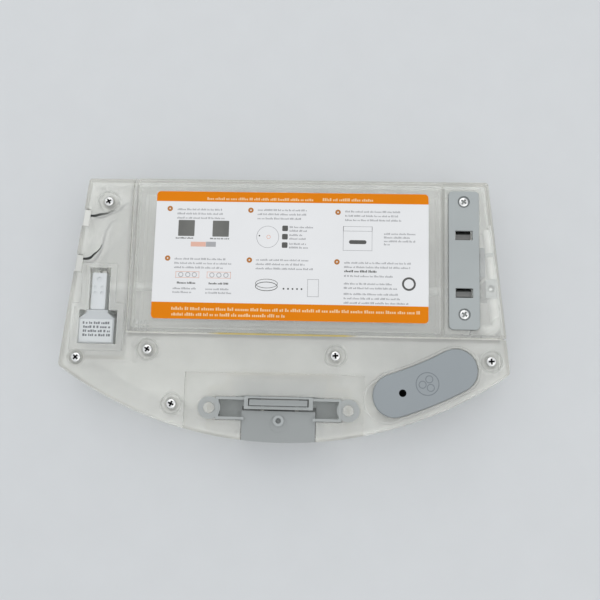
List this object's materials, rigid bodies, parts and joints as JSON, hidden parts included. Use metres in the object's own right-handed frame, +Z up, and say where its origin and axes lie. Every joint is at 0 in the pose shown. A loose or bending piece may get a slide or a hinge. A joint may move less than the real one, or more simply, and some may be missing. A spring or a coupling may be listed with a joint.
{
  "type": "robot vacuum water tank",
  "caption": "Half-moon water tank of a robot vacuum: pale two-part cover on a shell, grey fill plug, grey rim latch, inlaid pump bay, label seat and contact plate.",
  "frame": {"origin": "centre of the bounding box on the underside, where the tank rests", "axes": "+X to the right seen from above with the straight back edge away, +Y to the straight back edge, +Z up through the label side"},
  "size_m": [0.202, 0.1196, 0.024],
  "materials": {
    "shell": "milky pale grey-green plastic, fine satin",
    "cover": "milky pale grey-green plastic, satin",
    "gasket": "olive soft seal",
    "label": "printed film, satin",
    "plate": "grey plastic, satin",
    "screw_steel": "bright nickel-plated steel",
    "contact_metal": "plated spring metal",
    "plug_rubber": "blue-grey silicone, matt",
    "latch_plastic": "blue-grey plastic, satin",
    "spring_steel": "drawn steel wire",
    "pump_dark": "pale grey case",
    "pump_white": "white plastic",
    "wire_cover": "grey wire cover",
    "hose_rubber": "translucent silicone",
    "valve_plastic": "natural plastic",
    "ball_steel": "polished steel ball",
    "dark_plastic": "dark plastic",
    "nozzle_rubber": "dark soft rubber"
  },
  "bodies": {
    "tank": {"lower_shell": "shell", "front_cover": "cover", "rear_cover": "cover", "cover_gasket": "gasket", "label_sheet": "label", "contact_plate": "plate", "plate_screws": "screw_steel", "cover_screws": "screw_steel", "leaf_contact_rear": "contact_metal", "leaf_contact_front": "contact_metal", "plug_anchor": "plug_rubber", "latch_bracket": "latch_plastic", "button_springs": "spring_steel", "lock_spring": "spring_steel", "side_contact_rear": "contact_metal", "side_contact_front": "contact_metal", "pump_motor": "pump_dark", "pump_head": "pump_white", "pump_label": "label", "pump_terminals": "contact_metal", "wire_rear": "wire_cover", "wire_front": "wire_cover", "inlet_strainer": "pump_white", "feed_hose": "hose_rubber", "valve_block": "valve_plastic", "valve_ball": "ball_steel", "vent_tube": "hose_rubber", "vent_collar": "valve_plastic", "tube_clip": "dark_plastic", "outlet_pipe": "hose_rubber", "outlet_left": "nozzle_rubber", "outlet_right": "nozzle_rubber"},
    "plug_flap": {"fill_plug": "plug_rubber"},
    "button": {"release_button": "latch_plastic"},
    "lock": {"lock_bar": "latch_plastic"}
  },
  "joints": [
    {"name": "plug_fold", "type": "hinge", "parent": "tank", "child": "plug_flap", "pos_m": [0.07147, -0.0294, 0.0229], "axis": [-0.4431, 0.8965, 0], "range_deg": [0, 100]},
    {"name": "button_press", "type": "slide", "parent": "tank", "child": "button", "axis": [0, 1, 0], "range_m": [0, 0.002], "stiffness_N_per_m": 300, "springref_m": -0.004, "deforming": ["button_springs"]},
    {"name": "lock_drop", "type": "slide", "parent": "tank", "child": "lock", "axis": [0, 0, 1], "range_m": [-0.002, 0], "deforming": ["lock_spring"]}
  ],
  "couplings": [
    {"joint": "lock_drop", "follows": "button_press", "ratio": -1}
  ]
}
